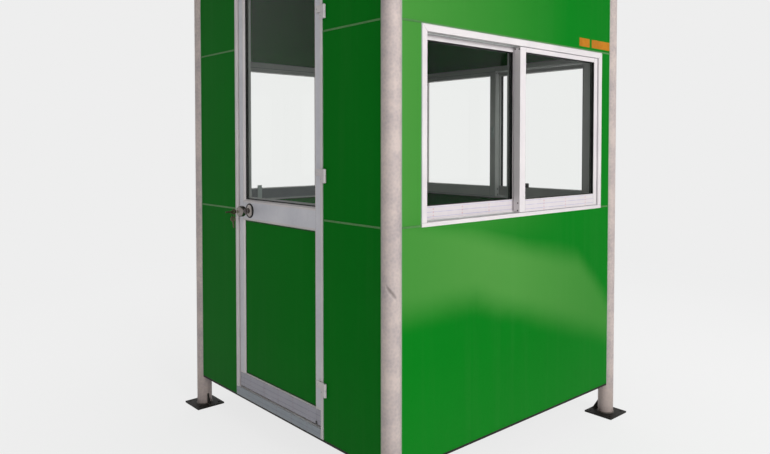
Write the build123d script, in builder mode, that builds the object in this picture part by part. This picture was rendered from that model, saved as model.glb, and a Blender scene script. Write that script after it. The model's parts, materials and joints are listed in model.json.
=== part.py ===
from build123d import *
import math
import os

# Security guard booth: a one-person cabin on four tube posts. Millimetres, +Z up,
# origin on the ground at the centre of the footprint, door wall facing -Y,
# largest window facing +X.

# ---- driving dimensions ----
post_pitch = 1500           # centre to centre of the corner posts, both ways
post_diameter = 76
post_wall = 3
wall_thickness = 45         # sandwich panel
fit_gap = 0.3               # between a panel's end and the round post

base_plate_size = 150
base_plate_thickness = 8
anchor_pitch = 110          # between anchor bolt holes
anchor_hole = 12
gusset_length = 34
gusset_height = 55
gusset_thickness = 6

floor_height = 155          # ground to the underside of the floor frame
sill_channel_height = 10
joist_width = 40
joist_height = 30
joist_count = 4
floor_board_thickness = 12

lower_joint_height = 1074   # ground to the lower joint strip
joint_strip_height = 8
joint_strip_proud = 1

window_height = 763
window_front_margin = 134   # front post's middle to the frame of a side window
window_back_margin = 108    # back post's middle to the frame of a side window
back_window_margin = 156    # left post's middle to the frame of the back window
window_proud = 4            # frame face outside the wall face
window_depth = 88
window_side_width = 27
window_head_width = 27
window_sill_thickness = 7
sash_thickness = 34
sash_recess = 8             # outer sash face behind the frame face
sash_pitch = 40             # outer sash face to inner sash face
sash_stile_width = 30
meeting_stile_width = 40
sash_top_width = 22
sash_bottom_width = 57
sash_gap = 0.3              # sash to frame, all round
glass_thickness = 5
glass_seat = 8              # how deep glass and panels sit in their grooves
groove_gap = 0.4

door_frame_width = 714
door_frame_top = 2215       # ground to the top of the door frame
door_frame_proud = 3
door_frame_depth = 63
door_jamb_width = 16
door_stop_width = 20
door_stop_depth = 13
threshold_height = 40
door_gap = 7                # leaf to jambs, head and threshold
door_recess = 9             # leaf face behind the frame face
door_thickness = 36
stile_width = 47
door_bottom_rail = 72
door_top_rail = 72
lock_rail_height = 105
lock_height = 1075          # ground to the knob's axis
lock_backset = 97           # leaf edge to the knob's axis
bead_width = 11
bead_depth = 8
door_panel_thickness = 12

rose_diameter = 62
rose_thickness = 7
knob_diameter = 52
knob_reach = 45             # leaf face to the knob's middle
knob_neck_diameter = 24
knob_flat = 6               # the knob's outer end is cut flat this far in
turning_gap = 0.3

hinge_height = 56
hinge_diameter = 13
hinge_pin_diameter = 6
hinge_pin_gap = 0.05
hinge_split = 0.5           # between the two halves of a knuckle
hinge_offset = 21           # pin axis to the frame's outer edge
hinge_pin_height = 8        # pin axis in front of the wall face
hinge_leaf_thickness = 2.5
hinge_lift = 3.5            # moving half in front of the frame face
hinge_leaf_reach = 14       # over the edge of the door leaf
hinge_frame_reach = 14      # over the jamb
hinge_bottom_height = 378   # ground to the middle of the lowest hinge
hinge_middle_height = 1260
hinge_top_height = 1927

over_door_height = 200      # panel between the door frame and the top rail
top_rail_height = 40
roof_overhang = 300         # beyond the wall face
roof_thickness = 60
fascia_height = 150
fascia_thickness = 30
fascia_upstand = 5

# ---- derived places ----
half_pitch = post_pitch / 2
post_radius = post_diameter / 2
wall_outer = half_pitch + wall_thickness / 2
wall_inner = half_pitch - wall_thickness / 2
panel_bottom = floor_height + sill_channel_height
window_bottom = lower_joint_height + joint_strip_height
window_top = window_bottom + window_height
upper_panel_bottom = window_top + joint_strip_height
wall_top = door_frame_top + over_door_height
roof_bottom = wall_top + top_rail_height
roof_top = roof_bottom + roof_thickness
roof_half = wall_outer + roof_overhang
fascia_half = roof_half + fascia_thickness
floor_board_bottom = floor_height + joist_height
floor_top = floor_board_bottom + floor_board_thickness
window_face = wall_outer + window_proud
window_back = window_face - window_depth
groove_depth = glass_seat + groove_gap
glass_groove = glass_thickness + 2 * groove_gap
window_width = post_pitch - window_front_margin - window_back_margin
window_margins = {
    "right": window_front_margin,
    "left": window_front_margin,
    "back": back_window_margin,
}

door_half = door_frame_width / 2
door_face = wall_outer + door_frame_proud
door_back = door_face - door_frame_depth
jamb_inner = door_half - door_jamb_width
threshold_top = panel_bottom + threshold_height
leaf_half = jamb_inner - door_gap
leaf_bottom = threshold_top + door_gap
leaf_top = door_frame_top - door_jamb_width - door_gap
leaf_face = door_face - door_recess
leaf_back = leaf_face - door_thickness
light_half = leaf_half - stile_width
light_bottom = lock_height + lock_rail_height / 2
light_top = leaf_top - door_top_rail
infill_bottom = leaf_bottom + door_bottom_rail
infill_top = lock_height - lock_rail_height / 2
lock_x = -leaf_half + lock_backset
hinge_x = door_half + hinge_offset
hinge_y = wall_outer + hinge_pin_height
hinge_heights = [hinge_bottom_height, hinge_middle_height, hinge_top_height]

# Each wall: the axis across it and the side of the booth it stands on.
walls = {"right": ("x", 1), "left": ("x", -1), "back": ("y", 1), "front": ("y", -1)}
posts = {
    "front_right": (half_pitch, -half_pitch),
    "front_left": (-half_pitch, -half_pitch),
    "back_right": (half_pitch, half_pitch),
    "back_left": (-half_pitch, half_pitch),
}

os.makedirs("parts", exist_ok=True)


def save(piece, name):
    piece.part.label = name
    export_step(piece.part, f"parts/{name}.step")


def bar(wall, start, end, inner, outer, bottom, top, mode=Mode.ADD):
    """A straight bar in a wall: start to end along it, inner to outer across it."""
    axis, side = walls[wall]
    along = (start + end) / 2
    across = side * (inner + outer) / 2
    with BuildSketch(Plane.XY.offset(bottom)) as section:
        if axis == "x":
            with Locations((across, along)):
                Rectangle(outer - inner, end - start)
        else:
            with Locations((along, across)):
                Rectangle(end - start, outer - inner)
    extrude(section.sketch, amount=top - bottom, mode=mode)


def clear_posts(bottom, top):
    """Cut the round corner posts out of the piece being built."""
    with BuildSketch(Plane.XY.offset(bottom)) as holes:
        with Locations(*posts.values()):
            Circle(post_radius + fit_gap)
    extrude(holes.sketch, amount=top - bottom, mode=Mode.SUBTRACT)


def wall_bar(wall, start, end, bottom, top, proud=0):
    bar(wall, start, end, wall_inner - proud, wall_outer + proud, bottom, top)


# ---- corner posts and their feet ----
for name, centre in posts.items():
    with BuildPart() as post:
        with BuildSketch(Plane.XY.offset(base_plate_thickness)):
            with Locations(centre):
                Circle(post_radius)
                Circle(post_radius - post_wall, mode=Mode.SUBTRACT)
        extrude(amount=roof_bottom - base_plate_thickness)
    save(post, f"post_{name}")

    with BuildPart() as foot:
        with BuildSketch(Plane.XY):
            with Locations(centre):
                Rectangle(base_plate_size, base_plate_size)
                with GridLocations(anchor_pitch, anchor_pitch, 2, 2):
                    Circle(anchor_hole / 2, mode=Mode.SUBTRACT)
        extrude(amount=base_plate_thickness)
        inward = -math.copysign(1, centre[0])
        gusset_start = centre[0] + inward * (post_radius + fit_gap)
        with BuildSketch(Plane.XZ.offset(-centre[1])):
            with BuildLine():
                Polyline(
                    (gusset_start, base_plate_thickness),
                    (gusset_start + inward * gusset_length, base_plate_thickness),
                    (gusset_start, base_plate_thickness + gusset_height),
                    close=True,
                )
            make_face()
        extrude(amount=gusset_thickness / 2, both=True)
    save(foot, f"base_plate_{name}")

# ---- floor ----
with BuildPart() as floor_frame:
    for wall in walls:
        wall_bar(wall, -half_pitch, half_pitch, floor_height, panel_bottom)
    clear_posts(floor_height, panel_bottom)
    for wall in ("right", "left"):
        bar(wall, -wall_inner, wall_inner, wall_inner - joist_width, wall_inner,
            floor_height, floor_board_bottom)
    joist_span = 2 * wall_inner - joist_width
    with BuildSketch(Plane.XY.offset(floor_height)):
        with GridLocations(0, joist_span / (joist_count - 1), 1, joist_count):
            Rectangle(2 * wall_inner, joist_width)
    extrude(amount=joist_height)
    clear_posts(floor_height, floor_board_bottom)
save(floor_frame, "floor_frame")

with BuildPart() as floor_board:
    with BuildSketch(Plane.XY.offset(floor_board_bottom)):
        Rectangle(2 * wall_inner, 2 * wall_inner)
    extrude(amount=floor_board_thickness)
    clear_posts(floor_board_bottom, floor_top)
save(floor_board, "floor_board")

# ---- window walls ----
for wall, margin in window_margins.items():
    window_start = margin - half_pitch
    window_end = window_start + window_width

    with BuildPart() as lower_panel:
        wall_bar(wall, -half_pitch, half_pitch, panel_bottom, lower_joint_height)
        clear_posts(panel_bottom, lower_joint_height)
    save(lower_panel, f"{wall}_wall_lower")

    with BuildPart() as side_panels:
        wall_bar(wall, -half_pitch, window_start, window_bottom, window_top)
        wall_bar(wall, window_end, half_pitch, window_bottom, window_top)
        clear_posts(window_bottom, window_top)
    save(side_panels, f"{wall}_wall_beside_window")

    with BuildPart() as upper_panel:
        wall_bar(wall, -half_pitch, half_pitch, upper_panel_bottom, wall_top)
        clear_posts(upper_panel_bottom, wall_top)
    save(upper_panel, f"{wall}_wall_upper")

    sill_top = window_bottom + window_sill_thickness
    head_bottom = window_top - window_head_width
    clear_start = window_start + window_side_width
    clear_end = window_end - window_side_width
    outer_face = window_face - sash_recess
    inner_face = outer_face - sash_pitch
    track_back = outer_face - sash_thickness - sash_gap
    track_front = inner_face + sash_gap
    with BuildPart() as window_frame:
        bar(wall, window_start, window_end, window_back, window_face, window_bottom, window_top)
        bar(wall, clear_start, clear_end, window_back, window_face, sill_top, head_bottom,
            Mode.SUBTRACT)
        bar(wall, clear_start, clear_end, track_front, track_back, sill_top,
            sill_top + window_sill_thickness)
    save(window_frame, f"{wall}_window_frame")

    sash_width = (clear_end - clear_start - 2 * sash_gap + meeting_stile_width) / 2
    sash_bottom = sill_top + sash_gap
    sash_top = head_bottom - sash_gap
    glass_bottom = sash_bottom + sash_bottom_width
    glass_top = sash_top - sash_top_width
    outer_start = clear_end - sash_gap - sash_width
    inner_start = clear_start + sash_gap
    sashes = [
        (outer_start, outer_face, meeting_stile_width, sash_stile_width),
        (inner_start, inner_face, sash_stile_width, meeting_stile_width),
    ]
    with BuildPart() as window_sashes:
        for start, face, first_stile, last_stile in sashes:
            middle = face - sash_thickness / 2
            pane_start = start + first_stile
            pane_end = start + sash_width - last_stile
            bar(wall, start, start + sash_width, face - sash_thickness, face,
                sash_bottom, sash_top)
            bar(wall, pane_start, pane_end, face - sash_thickness, face,
                glass_bottom, glass_top, Mode.SUBTRACT)
            bar(wall, pane_start - groove_depth, pane_end + groove_depth,
                middle - glass_groove / 2, middle + glass_groove / 2,
                glass_bottom - groove_depth, glass_top + groove_depth, Mode.SUBTRACT)
    save(window_sashes, f"{wall}_window_sashes")

    with BuildPart() as window_glass:
        for start, face, first_stile, last_stile in sashes:
            middle = face - sash_thickness / 2
            bar(wall, start + first_stile - glass_seat,
                start + sash_width - last_stile + glass_seat,
                middle - glass_thickness / 2, middle + glass_thickness / 2,
                glass_bottom - glass_seat, glass_top + glass_seat)
    save(window_glass, f"{wall}_window_glass")

# ---- door wall ----
panel_rows = [
    (panel_bottom, lower_joint_height),
    (window_bottom, window_top),
    (upper_panel_bottom, wall_top),
]
door_wall_sides = {
    "left": (-half_pitch, -door_half),
    "right": (door_half, half_pitch),
}
for side, (start, end) in door_wall_sides.items():
    with BuildPart() as door_wall_panels:
        for bottom, top in panel_rows:
            wall_bar("front", start, end, bottom, top)
        clear_posts(panel_bottom, wall_top)
    save(door_wall_panels, f"front_wall_{side}")

with BuildPart() as over_door:
    wall_bar("front", -door_half, door_half, door_frame_top, wall_top)
save(over_door, "front_wall_over_door")

# ---- joint strips between the panel rows ----
strip_runs = [("front", start, end) for start, end in door_wall_sides.values()]
strip_runs += [(wall, -half_pitch, half_pitch) for wall in window_margins]
with BuildPart() as joint_strips:
    for wall, start, end in strip_runs:
        for bottom in (lower_joint_height, window_top):
            wall_bar(wall, start, end, bottom, bottom + joint_strip_height, joint_strip_proud)
    clear_posts(lower_joint_height, upper_panel_bottom)
save(joint_strips, "joint_strips")

# ---- door frame ----
stop_inner = jamb_inner - door_stop_width
stop_front = door_back + door_stop_depth
with BuildPart() as door_frame:
    bar("front", -door_half, door_half, door_back, door_face, panel_bottom, door_frame_top)
    bar("front", -jamb_inner, jamb_inner, stop_front, door_face, panel_bottom,
        door_frame_top - door_jamb_width, Mode.SUBTRACT)
    bar("front", -stop_inner, stop_inner, door_back, stop_front, panel_bottom,
        door_frame_top - door_jamb_width - door_stop_width, Mode.SUBTRACT)
    bar("front", -door_half, door_half, door_back, wall_inner, panel_bottom, floor_top,
        Mode.SUBTRACT)
save(door_frame, "door_frame")

with BuildPart() as threshold:
    bar("front", -jamb_inner, jamb_inner, stop_front, door_face, panel_bottom, threshold_top)
    bar("front", -stop_inner, stop_inner, door_back, stop_front, panel_bottom,
        threshold_top + door_stop_width)
    bar("front", -jamb_inner, jamb_inner, door_back, wall_inner, panel_bottom, floor_top,
        Mode.SUBTRACT)
save(threshold, "door_threshold")

# ---- door leaf ----
glass_middle = leaf_face - door_thickness / 2
infill_middle = leaf_face - bead_depth - door_panel_thickness / 2
panel_groove = door_panel_thickness + 2 * groove_gap
with BuildPart() as door_leaf:
    bar("front", -leaf_half, leaf_half, leaf_back, leaf_face, leaf_bottom, leaf_top)
    for bottom, top in ((infill_bottom, infill_top), (light_bottom, light_top)):
        bar("front", -light_half, light_half, leaf_back, leaf_face, bottom, top, Mode.SUBTRACT)
    front_face = door_leaf.faces().sort_by(Axis.Y)[0]
    chamfer(front_face.inner_wires().edges(), length=bead_depth - 2 * groove_gap,
            length2=bead_width, reference=front_face)
    bar("front", -light_half - groove_depth, light_half + groove_depth,
        glass_middle - glass_groove / 2, glass_middle + glass_groove / 2,
        light_bottom - groove_depth, light_top + groove_depth, Mode.SUBTRACT)
    bar("front", -light_half - groove_depth, light_half + groove_depth,
        infill_middle - panel_groove / 2, infill_middle + panel_groove / 2,
        infill_bottom - groove_depth, infill_top + groove_depth, Mode.SUBTRACT)
    with BuildSketch(Plane.XZ.offset(leaf_back)):
        with Locations((lock_x, lock_height)):
            Circle(knob_neck_diameter / 2 + turning_gap)
    extrude(amount=door_thickness, mode=Mode.SUBTRACT)
save(door_leaf, "door_leaf")

with BuildPart() as door_glass:
    bar("front", -light_half - glass_seat, light_half + glass_seat,
        glass_middle - glass_thickness / 2, glass_middle + glass_thickness / 2,
        light_bottom - glass_seat, light_top + glass_seat)
save(door_glass, "door_glass")

with BuildPart() as door_panel:
    bar("front", -light_half - glass_seat, light_half + glass_seat,
        infill_middle - door_panel_thickness / 2, infill_middle + door_panel_thickness / 2,
        infill_bottom - glass_seat, infill_top + glass_seat)
save(door_panel, "door_lower_panel")

# ---- knob lock ----
rose_planes = [
    Plane.XZ.offset(leaf_face),
    Plane.XZ.offset(leaf_back - rose_thickness),
]
with BuildPart() as roses:
    for plane in rose_planes:
        with BuildSketch(plane):
            with Locations((lock_x, lock_height)):
                Circle(rose_diameter / 2)
                Circle(knob_neck_diameter / 2 + turning_gap, mode=Mode.SUBTRACT)
        extrude(amount=rose_thickness)
save(roses, "door_knob_roses")

knob_radius = knob_diameter / 2
knob_out = leaf_face + knob_reach
knob_in = leaf_back - knob_reach
with BuildPart() as knob:
    with BuildSketch(Plane(origin=(lock_x, 0, lock_height), x_dir=(1, 0, 0), z_dir=(0, 0, 1))):
        with Locations((0, -knob_out), (0, -knob_in)):
            Circle(knob_radius)
        with Locations((0, -(knob_out + knob_in) / 2)):
            Rectangle(knob_neck_diameter, knob_out - knob_in)
        for end, way in ((knob_out, 1), (knob_in, -1)):
            flat = end + way * (knob_radius - knob_flat / 2)
            with Locations((0, -flat)):
                Rectangle(knob_diameter, knob_flat, mode=Mode.SUBTRACT)
        with Locations((-knob_diameter / 2, -(knob_out + knob_in) / 2)):
            Rectangle(knob_diameter, 2 * (knob_out - knob_in), mode=Mode.SUBTRACT)
    revolve(axis=Axis((lock_x, 0, lock_height), (0, 1, 0)))
save(knob, "door_knob")

# ---- hinges ----
hinge_radius = hinge_diameter / 2
half_knuckle = (hinge_height - hinge_split) / 2
knuckle_bore = hinge_pin_diameter / 2 + hinge_pin_gap
plate_front = door_face + hinge_leaf_thickness
moving_back = door_face + hinge_lift
with BuildPart() as hinges_fixed:
    for height in hinge_heights:
        bottom = height - hinge_height / 2
        with BuildSketch(Plane.XY.offset(bottom)):
            with Locations((hinge_x, -hinge_y)):
                Circle(hinge_radius)
        extrude(amount=half_knuckle)
        with BuildSketch(Plane.XY.offset(bottom + half_knuckle)):
            with Locations((hinge_x, -hinge_y)):
                Circle(hinge_pin_diameter / 2)
        extrude(amount=half_knuckle)
        bar("front", door_half - hinge_frame_reach, hinge_x, door_face, plate_front,
            bottom, bottom + half_knuckle)
save(hinges_fixed, "door_hinges_fixed")

with BuildPart() as hinges_moving:
    for height in hinge_heights:
        bottom = height + hinge_split / 2
        plate_end = leaf_half - hinge_leaf_reach
        bar("front", plate_end, hinge_x, moving_back, moving_back + hinge_leaf_thickness,
            bottom, bottom + half_knuckle)
        bar("front", plate_end, leaf_half, leaf_face, moving_back, bottom, bottom + half_knuckle)
        with BuildSketch(Plane.XY.offset(bottom)):
            with Locations((hinge_x, -hinge_y)):
                Circle(hinge_radius)
        extrude(amount=half_knuckle)
        with BuildSketch(Plane.XY.offset(bottom)):
            with Locations((hinge_x, -hinge_y)):
                Circle(knuckle_bore)
        extrude(amount=half_knuckle, mode=Mode.SUBTRACT)
save(hinges_moving, "door_hinges_moving")

# ---- roof ----
with BuildPart() as top_rails:
    for wall in walls:
        wall_bar(wall, -half_pitch, half_pitch, wall_top, roof_bottom)
    clear_posts(wall_top, roof_bottom)
save(top_rails, "top_rails")

with BuildPart() as roof_panel:
    with BuildSketch(Plane.XY.offset(roof_bottom)):
        Rectangle(2 * roof_half, 2 * roof_half)
    extrude(amount=roof_thickness)
save(roof_panel, "roof_panel")

fascia_bottom = roof_top + fascia_upstand - fascia_height
with BuildPart() as fascia:
    with BuildSketch(Plane.XY.offset(fascia_bottom)):
        Rectangle(2 * fascia_half, 2 * fascia_half)
        Rectangle(2 * roof_half, 2 * roof_half, mode=Mode.SUBTRACT)
    extrude(amount=fascia_height)
save(fascia, "roof_fascia")
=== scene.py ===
import json
import math
import random
from functools import partial

import bmesh
import bpy
from mathutils import Matrix, Vector


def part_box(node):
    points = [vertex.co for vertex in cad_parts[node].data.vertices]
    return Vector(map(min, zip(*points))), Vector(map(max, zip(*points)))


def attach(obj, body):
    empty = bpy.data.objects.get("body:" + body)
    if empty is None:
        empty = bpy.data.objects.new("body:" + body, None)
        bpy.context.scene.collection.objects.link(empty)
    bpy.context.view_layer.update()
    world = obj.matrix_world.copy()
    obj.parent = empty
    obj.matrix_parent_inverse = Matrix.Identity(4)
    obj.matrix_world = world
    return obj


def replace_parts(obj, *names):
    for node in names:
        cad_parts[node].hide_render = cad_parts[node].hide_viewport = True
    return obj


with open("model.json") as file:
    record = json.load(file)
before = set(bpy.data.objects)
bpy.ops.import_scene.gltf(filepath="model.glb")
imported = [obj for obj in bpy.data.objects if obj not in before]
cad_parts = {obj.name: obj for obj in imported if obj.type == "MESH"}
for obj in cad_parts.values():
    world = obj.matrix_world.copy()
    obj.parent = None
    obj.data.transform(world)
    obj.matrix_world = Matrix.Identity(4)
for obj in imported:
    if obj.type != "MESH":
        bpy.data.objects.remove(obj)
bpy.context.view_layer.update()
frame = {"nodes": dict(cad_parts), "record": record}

print("frame loaded:", len(frame["nodes"]), "nodes")
random.seed(7)


# small tools for colours, nodes and meshes, all in metres

def toLinear(hexColour, level=1.0):
    channels = [int(hexColour[i:i + 2], 16) / 255 for i in (0, 2, 4)]
    linear = [c / 12.92 if c <= 0.04045 else ((c + 0.055) / 1.055) ** 2.4 for c in channels]
    return [min(1.0, c * level) for c in linear] + [1.0]


def setInputs(node, inputs):
    # a number or colour goes on the socket itself; a socket, or a node's first live output, is linked to it
    for key, value in inputs.items():
        if isinstance(value, bpy.types.Node):
            value = next(output for output in value.outputs if output.enabled)
        if isinstance(value, bpy.types.NodeSocket):
            node.id_data.links.new(value, node.inputs[key])
        else:
            node.inputs[key].default_value = value


def addNode(tree, kind, inputs=None, operation=None, **settings):
    node = tree.nodes.new("ShaderNode" + kind)
    if operation:
        node.operation = operation
    for key, value in settings.items():
        setattr(node, key, value)
    setInputs(node, inputs or {})
    return node


def startTree(owner):
    # empties a node tree and gives back what adds nodes to it
    owner.use_nodes = True
    owner.node_tree.nodes.clear()
    return partial(addNode, owner.node_tree)


def startMaterial(name, inputs):
    material = bpy.data.materials.new(name)
    add = startTree(material)
    shader = add("BsdfPrincipled", inputs)
    add("OutputMaterial", {"Surface": shader})
    return material, add, shader, add("TexCoord").outputs["Object"]


def addObject(name, data):
    made = bpy.data.objects.new(name, data)
    bpy.context.scene.collection.objects.link(made)
    return made


def moved(x=0.0, y=0.0, z=0.0):
    return Matrix.Translation((x, y, z))


def turned(degrees, axis):
    return Matrix.Rotation(math.radians(degrees), 4, axis)


def addBar(bm, place, low, high, edge=0.0):
    # a box between two opposite corners, its edges rounded by edge
    low, high = Vector(low), Vector(high)
    size = [abs(side) for side in high - low]
    matrix = place @ moved(*(low + high) / 2) @ Matrix.Diagonal(size + [1.0])
    made = bmesh.ops.create_cube(bm, size=1.0, matrix=matrix)
    if edge:
        edges = list({e for v in made["verts"] for e in v.link_edges})
        bmesh.ops.bevel(bm, geom=edges, offset=edge, affect="EDGES", segments=2, profile=0.5, material=-1)


def addStrip(bm, place, start, end, width, low, high):
    # a thin flat bar from one point of a wall to another, standing from low to high off it
    along = Vector((end[0] - start[0], end[1] - start[1]))
    middle = moved((start[0] + end[0]) / 2, (start[1] + end[1]) / 2, (low + high) / 2)
    turn = turned(math.degrees(math.atan2(along.y, along.x)), "Z")
    size = Matrix.Diagonal((along.length, width, abs(high - low), 1.0))
    bmesh.ops.create_cube(bm, size=1.0, matrix=place @ middle @ turn @ size)


def addRod(bm, place, radius, length, sides):
    # stands on the place's origin, along its z
    bmesh.ops.create_cone(bm, cap_ends=True, segments=sides, radius1=radius, radius2=radius, depth=length,
                          matrix=place @ moved(z=length / 2))


def spinSection(bm, points, edges, steps):
    # turns a section once round z and gives back all the points it made
    before = set(bm.verts) - set(points)
    bmesh.ops.spin(bm, geom=points + edges, cent=(0, 0, 0), axis=(0, 0, 1), angle=math.tau, steps=steps,
                   use_merge=True, use_duplicate=False)
    return [v for v in bm.verts if v not in before]


def inMillimetres(*values):
    # pairs of a section, written one after the other in millimetres
    return [(out / 1000, up / 1000) for out, up in zip(values[::2], values[1::2])]


def addLathe(bm, place, section, steps=32, closed=False):
    # section: (radius, height) points, turned round the place's z
    points = [bm.verts.new((radius, 0.0, height)) for radius, height in section]
    edges = [bm.edges.new(pair) for pair in zip(points, points[1:])]
    if closed:
        edges.append(bm.edges.new((points[-1], points[0])))
    before = set(bm.verts) - set(points)
    bmesh.ops.remove_doubles(bm, verts=spinSection(bm, points, edges, steps), dist=1e-6)
    made = [v for v in bm.verts if v not in before]
    bmesh.ops.transform(bm, matrix=place, verts=made)
    return made


def addRing(bm, place, width, height, section):
    # a mitred rectangular ring round the place's origin; section: closed (outward, forward) points from its edge
    reach = 1.0  # the four corners are turned this far out, then drawn in to the ring's size
    points = [bm.verts.new((reach + out, reach + out, forward)) for out, forward in section]
    edges = [bm.edges.new((points[i - 1], points[i])) for i in range(len(points))]
    made = spinSection(bm, points, edges, 4)
    for v in made:
        v.co.x += (width / 2 - reach) * math.copysign(1, v.co.x)
        v.co.y += (height / 2 - reach) * math.copysign(1, v.co.y)
    bmesh.ops.transform(bm, matrix=place, verts=made)


def addScrew(bm, place, radius):
    # pan head with a round socket, standing on the place's origin
    shape = [(0.0, 0.15), (0.3, 0.15), (0.34, 0.5), (0.75, 0.42), (1.0, 0.1), (1.0, -0.2), (0.0, -0.2)]
    addLathe(bm, place, [(radius * out, radius * up) for out, up in shape], 12)


def finishPiece(name, bm, material, body="booth", smoothAngle=40):
    bmesh.ops.remove_doubles(bm, verts=bm.verts, dist=1e-7)
    bmesh.ops.recalc_face_normals(bm, faces=bm.faces)
    mesh = bpy.data.meshes.new(name)
    bm.to_mesh(mesh)
    bm.free()
    mesh.materials.append(material)
    mesh.shade_smooth()
    mesh.set_sharp_from_angle(angle=math.radians(smoothAngle))
    piece = addObject(name, mesh)
    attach(piece, body)
    return piece


wallTurns = {"front": 0, "right": 90, "back": 180, "left": 270}
wallInner, wallOuter = (corner.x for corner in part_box("right_wall_lower"))
bothSides = (-1, 1)
seamProud = 0.00012  # how far a drawn joint line stands off its profile
filmThick = 0.00025  # protective film, thick enough not to flicker


def onWall(wall):
    # x to the right along the wall as seen from outside, y up, z out of its outer face
    return turned(wallTurns[wall], "Z") @ moved(y=-wallOuter) @ turned(90, "X")


# camera, floor and light

cameraFit = {
    "place": (2.6097, -2.4276, 1.3798),
    "turn": 48.476,      # degrees left of +Y
    "tilt": 1.709,       # degrees below the horizon
    "sensor": 36.0,
    "lens": 31.805,
    "shift": -0.078,
}
camera = addObject("camera", bpy.data.cameras.new("camera"))
camera.data.sensor_width = cameraFit["sensor"]
camera.data.lens = cameraFit["lens"]
camera.data.shift_y = cameraFit["shift"]
camera.location = cameraFit["place"]
camera.rotation_euler = (math.radians(90 - cameraFit["tilt"]), 0.0, math.radians(cameraFit["turn"]))
bpy.context.scene.camera = camera
bpy.context.scene.view_settings.view_transform = "Standard"

studio = {
    "paper": toLinear("EEEEEE"),
    "skyLight": 0.28,       # what the room gives from every side
    "skyColour": (1.0, 0.99, 0.98, 1.0),
    "aim": (0.0, 0.0, 1.2),
    "lamps": {  # place, size and power of each
        "key": ((7.5, -0.4, 3.0), 4.5, 362.0),
        "fill": ((3.9, -3.4, 2.5), 2.0, 30.0),
        "top": ((-1.0, 1.5, 8.5), 5.0, 185.0),
    },
    "floorSize": 60.0,
    "fade": (1.8, 5.0),     # the lit paper gives way to its plain colour between these distances
    "glowLeast": 0.78,      # how much of the plain colour shows beside the booth
    "nearGlow": 1.14,       # makes up for what the lit paper lacks near the booth
    "grain": ("E6E6E6", "EAEAEA"),
}


def seenDirectly(add):
    # 1 for rays from the camera, off shiny things and through glass, 0 for those a matt surface has sent on
    path = add("LightPath").outputs
    either = add("Math", {0: path["Is Camera Ray"], 1: path["Is Glossy Ray"]}, "MAXIMUM")
    straight = add("Math", {0: either, 1: path["Is Transmission Ray"]}, "MAXIMUM")
    matt = add("Math", {0: path["Diffuse Depth"], 1: 0.5}, "GREATER_THAN")
    return add("Math", {0: straight, 1: matt}, "SUBTRACT", use_clamp=True)


world = bpy.data.worlds.new("studio")
bpy.context.scene.world = world
addWorld = startTree(world)
roomLight = addWorld("Background", {"Color": studio["skyColour"], "Strength": studio["skyLight"]})
paperLight = addWorld("Background", {"Color": studio["paper"], "Strength": 1.0})
bothLights = addWorld("MixShader", {0: seenDirectly(addWorld), 1: roomLight, 2: paperLight})
addWorld("OutputWorld", {"Surface": bothLights})

for lampName, (lampPlace, lampSize, lampPower) in studio["lamps"].items():
    lamp = bpy.data.lights.new(lampName, "AREA")
    lamp.shape = "DISK"
    lamp.size = lampSize
    lamp.energy = lampPower
    lampObject = addObject(lampName, lamp)
    lampObject.location = lampPlace
    lampObject.rotation_euler = (Vector(studio["aim"]) - Vector(lampPlace)).to_track_quat("-Z", "Y").to_euler()
    lampObject.visible_camera = False  # its round shape stays out of the panes too
    lampObject.visible_glossy = False
    lampObject.visible_transmission = False

floorMesh = bmesh.new()
bmesh.ops.create_grid(floorMesh, x_segments=1, y_segments=1, size=studio["floorSize"] / 2)
studioFloor = addObject("studio_floor", bpy.data.meshes.new("studio_floor"))
floorMesh.to_mesh(studioFloor.data)
floorMesh.free()
paper = bpy.data.materials.new("matte_paper_floor")  # pale seamless paper that keeps a soft shadow near the booth
addPaper = startTree(paper)
paperCoords = addPaper("TexCoord").outputs["Object"]
farOff = addPaper("VectorMath", {0: paperCoords}, "LENGTH")
fade = addPaper("MapRange", {"Value": farOff, "From Min": studio["fade"][0], "From Max": studio["fade"][1],
                             "To Min": studio["glowLeast"]},
                interpolation_type="SMOOTHSTEP")
paperGrain = addPaper("TexNoise", {"Vector": paperCoords, "Scale": 90.0, "Detail": 3.0})
grainLow, grainHigh = (toLinear(tone) for tone in studio["grain"])
grainTone = addPaper("Mix", {0: paperGrain, 6: grainLow, 7: grainHigh}, data_type="RGBA")
litPaper = addPaper("BsdfDiffuse", {"Color": grainTone})
glowLevel = addPaper("MapRange", {"Value": fade, "From Min": studio["glowLeast"], "To Min": studio["nearGlow"]})
glowPaper = addPaper("Emission", {"Color": studio["paper"], "Strength": glowLevel})
seenPaper = addPaper("MixShader", {0: fade, 1: litPaper, 2: glowPaper})
paperShare = addPaper("MixShader", {0: seenDirectly(addPaper), 1: litPaper, 2: seenPaper})
addPaper("OutputMaterial", {"Surface": paperShare})
studioFloor.data.materials.append(paper)
print("camera, floor and light ready")


# materials

paintedReflectionFit = {  # painted reflection of bright ground: a pale band under one window, in metres: where its lower and upper edges run along the wall
    "wall": 0.77, "lowFlat": 0.73, "lowFrom": -0.3, "lowSlope": -0.33, "highStart": 1.0, "highSlope": -0.25,
    "farStart": 1.31, "farSlope": -0.945, "waver": 0.07, "most": 0.46, "thinnest": 0.62, "middle": -0.15,
    "upperShare": 0.38, "colour": "6FA858",
}


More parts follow.
